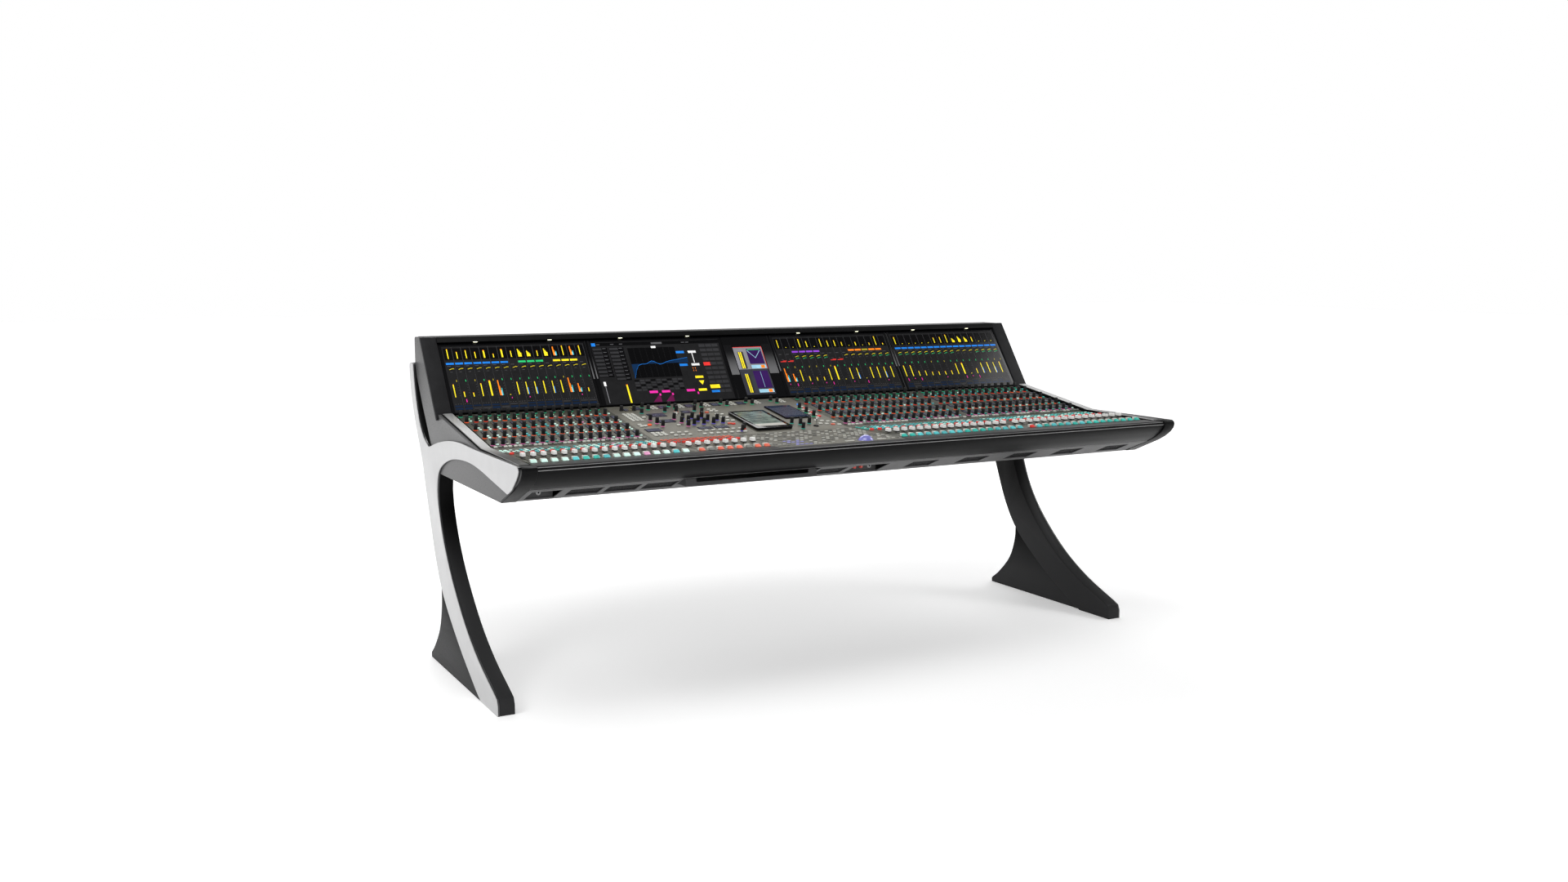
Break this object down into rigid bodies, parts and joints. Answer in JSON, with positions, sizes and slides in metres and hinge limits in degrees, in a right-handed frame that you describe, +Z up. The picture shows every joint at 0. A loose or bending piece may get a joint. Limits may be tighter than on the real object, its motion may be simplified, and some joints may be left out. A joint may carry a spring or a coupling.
{
  "type": "mixing console",
  "caption": "Large-format digital audio mixing desk: sloped control deck with faders and encoders, slanted display bridge, two curved legs.",
  "frame": {"origin": "on the floor, below the middle of the desk's outer box", "axes": "+X along the desk to the operator's right, +Y away from the operator, +Z up"},
  "size_m": [2.295, 1.106, 1.03],
  "materials": {
    "black_paint": "satin black paint",
    "black_casting": "satin black paint on cast aluminium",
    "white_cover": "satin white paint",
    "grey_paint": "satin grey paint",
    "rail_silver": "brushed",
    "steel": "plain",
    "circuit_green": "solder mask",
    "display_glass": "polished black front",
    "deck_metal": "satin khaki metallic",
    "cap_white": "moulded",
    "key_red": "translucent, lit",
    "key_clear": "translucent, lit",
    "knob_black": "moulded",
    "knob_red": "moulded",
    "ball_lilac": "polished, lit",
    "chrome": "polished"
  },
  "bodies": {
    "desk": {"leg_left": "black_casting", "leg_right": "black_casting", "leg_foot_left": "black_casting", "leg_foot_right": "black_casting", "end_block_left": "black_casting", "end_block_right": "black_casting", "front_rail": "black_paint", "base_pan": "black_paint", "rear_shell": "black_paint", "bridge_top_rail": "black_paint", "bridge_cheek_left": "black_paint", "bridge_cheek_right": "black_paint", "leg_cover_left": "white_cover", "leg_cover_right": "white_cover", "side_panel_left": "grey_paint", "side_panel_right": "grey_paint", "vent_panel": "grey_paint", "headphone_pocket": "grey_paint", "monitor_pocket": "grey_paint", "side_rail_left": "rail_silver", "side_rail_right": "rail_silver", "cross_beam": "steel", "power_supply": "steel", "bridge_frame": "steel", "drawer_guide": "steel", "control_board": "circuit_green", "channel_display_left": "display_glass", "main_display": "display_glass", "meter_display": "display_glass", "channel_display_right_inner": "display_glass", "channel_display_right_outer": "display_glass", "tablet": "display_glass", "touch_display": "display_glass", "deck_left": "deck_metal", "deck_centre": "deck_metal", "deck_right_inner": "deck_metal", "deck_right_outer": "deck_metal"},
    "keyboard_drawer": {"keyboard_drawer": "grey_paint"},
    "master_fader_1": {"master_fader_1": "cap_white"},
    "master_fader_2": {"master_fader_2": "cap_white"},
    "master_fader_3": {"master_fader_3": "cap_white"},
    "master_fader_4": {"master_fader_4": "cap_white"},
    "master_fader_5": {"master_fader_5": "cap_white"},
    "master_fader_6": {"master_fader_6": "cap_white"},
    "master_fader_7": {"master_fader_7": "cap_white"},
    "master_fader_8": {"master_fader_8": "cap_white"},
    "fader_bank_left": {"fader_bank_left": "cap_white"},
    "fader_bank_right_inner": {"fader_bank_right_inner": "cap_white"},
    "fader_bank_right_outer": {"fader_bank_right_outer": "cap_white"},
    "select_keys_left": {"select_keys_left": "key_clear"},
    "select_keys_centre": {"select_keys_centre": "key_red"},
    "select_keys_right_inner": {"select_keys_right_inner": "key_clear"},
    "select_keys_right_outer": {"select_keys_right_outer": "key_clear"},
    "trackball": {"trackball": "ball_lilac"},
    "joystick_gimbal": {"joystick_gimbal": "knob_black"},
    "joystick_stick": {"joystick_stick": "chrome"},
    "headphone_knob_1": {"headphone_knob_1": "knob_red"},
    "headphone_knob_2": {"headphone_knob_2": "knob_red"},
    "select_encoder": {"select_encoder": "knob_black"},
    "option_encoder": {"option_encoder": "knob_black"}
  },
  "joints": [
    {"name": "drawer_slide", "type": "slide", "parent": "desk", "child": "keyboard_drawer", "axis": [0, -1, 0], "range_m": [0, 0.22]},
    {"name": "master_fader_1_slide", "type": "slide", "parent": "desk", "child": "master_fader_1", "axis": [0, 1, 0], "range_m": [-0.05, 0.05]},
    {"name": "master_fader_2_slide", "type": "slide", "parent": "desk", "child": "master_fader_2", "axis": [0, 1, 0], "range_m": [-0.05, 0.05]},
    {"name": "master_fader_3_slide", "type": "slide", "parent": "desk", "child": "master_fader_3", "axis": [0, 1, 0], "range_m": [-0.05, 0.05]},
    {"name": "master_fader_4_slide", "type": "slide", "parent": "desk", "child": "master_fader_4", "axis": [0, 1, 0], "range_m": [-0.05, 0.05]},
    {"name": "master_fader_5_slide", "type": "slide", "parent": "desk", "child": "master_fader_5", "axis": [0, 1, 0], "range_m": [-0.05, 0.05]},
    {"name": "master_fader_6_slide", "type": "slide", "parent": "desk", "child": "master_fader_6", "axis": [0, 1, 0], "range_m": [-0.05, 0.05]},
    {"name": "master_fader_7_slide", "type": "slide", "parent": "desk", "child": "master_fader_7", "axis": [0, 1, 0], "range_m": [-0.05, 0.05]},
    {"name": "master_fader_8_slide", "type": "slide", "parent": "desk", "child": "master_fader_8", "axis": [0, 1, 0], "range_m": [-0.05, 0.05]},
    {"name": "fader_bank_left_slide", "type": "slide", "parent": "desk", "child": "fader_bank_left", "axis": [0, 1, 0], "range_m": [-0.05, 0.05]},
    {"name": "fader_bank_right_inner_slide", "type": "slide", "parent": "desk", "child": "fader_bank_right_inner", "axis": [0, 1, 0], "range_m": [-0.05, 0.05]},
    {"name": "fader_bank_right_outer_slide", "type": "slide", "parent": "desk", "child": "fader_bank_right_outer", "axis": [0, 1, 0], "range_m": [-0.05, 0.05]},
    {"name": "select_keys_left_press", "type": "slide", "parent": "desk", "child": "select_keys_left", "axis": [0, 0, -1], "range_m": [0, 0.0015], "stiffness_N_per_m": 2000, "springref_m": -0.003},
    {"name": "select_keys_centre_press", "type": "slide", "parent": "desk", "child": "select_keys_centre", "axis": [0, 0, -1], "range_m": [0, 0.0015], "stiffness_N_per_m": 2000, "springref_m": -0.003},
    {"name": "select_keys_right_inner_press", "type": "slide", "parent": "desk", "child": "select_keys_right_inner", "axis": [0, 0, -1], "range_m": [0, 0.0015], "stiffness_N_per_m": 2000, "springref_m": -0.003},
    {"name": "select_keys_right_outer_press", "type": "slide", "parent": "desk", "child": "select_keys_right_outer", "axis": [0, 0, -1], "range_m": [0, 0.0015], "stiffness_N_per_m": 2000, "springref_m": -0.003},
    {"name": "trackball_roll", "type": "hinge", "parent": "desk", "child": "trackball", "pos_m": [-0.035, -0.467, 0.725], "axis": [1, 0, 0], "continuous": true},
    {"name": "joystick_tilt", "type": "hinge", "parent": "desk", "child": "joystick_gimbal", "pos_m": [-0.004, -0.11577, 0.73784], "axis": [1, 0, 0], "range_deg": [-20, 20], "stiffness_Nm_per_rad": 0.05},
    {"name": "joystick_pan", "type": "hinge", "parent": "joystick_gimbal", "child": "joystick_stick", "pos_m": [-0.004, -0.11577, 0.73784], "axis": [0, 0.9877, 0.1561], "range_deg": [-25, 25], "stiffness_Nm_per_rad": 0.05},
    {"name": "headphone_knob_1_turn", "type": "hinge", "parent": "desk", "child": "headphone_knob_1", "pos_m": [-0.018, -0.369, 0.6385], "axis": [0, -1, 0], "range_deg": [-150, 150]},
    {"name": "headphone_knob_2_turn", "type": "hinge", "parent": "desk", "child": "headphone_knob_2", "pos_m": [0.006, -0.369, 0.6385], "axis": [0, -1, 0], "range_deg": [-150, 150]},
    {"name": "select_encoder_turn", "type": "hinge", "parent": "desk", "child": "select_encoder", "pos_m": [-0.274, -0.118, 0.739], "axis": [0, -0.1561, 0.9877], "continuous": true},
    {"name": "option_encoder_turn", "type": "hinge", "parent": "desk", "child": "option_encoder", "pos_m": [-0.064, -0.136, 0.73616], "axis": [0, -0.1561, 0.9877], "continuous": true}
  ]
}
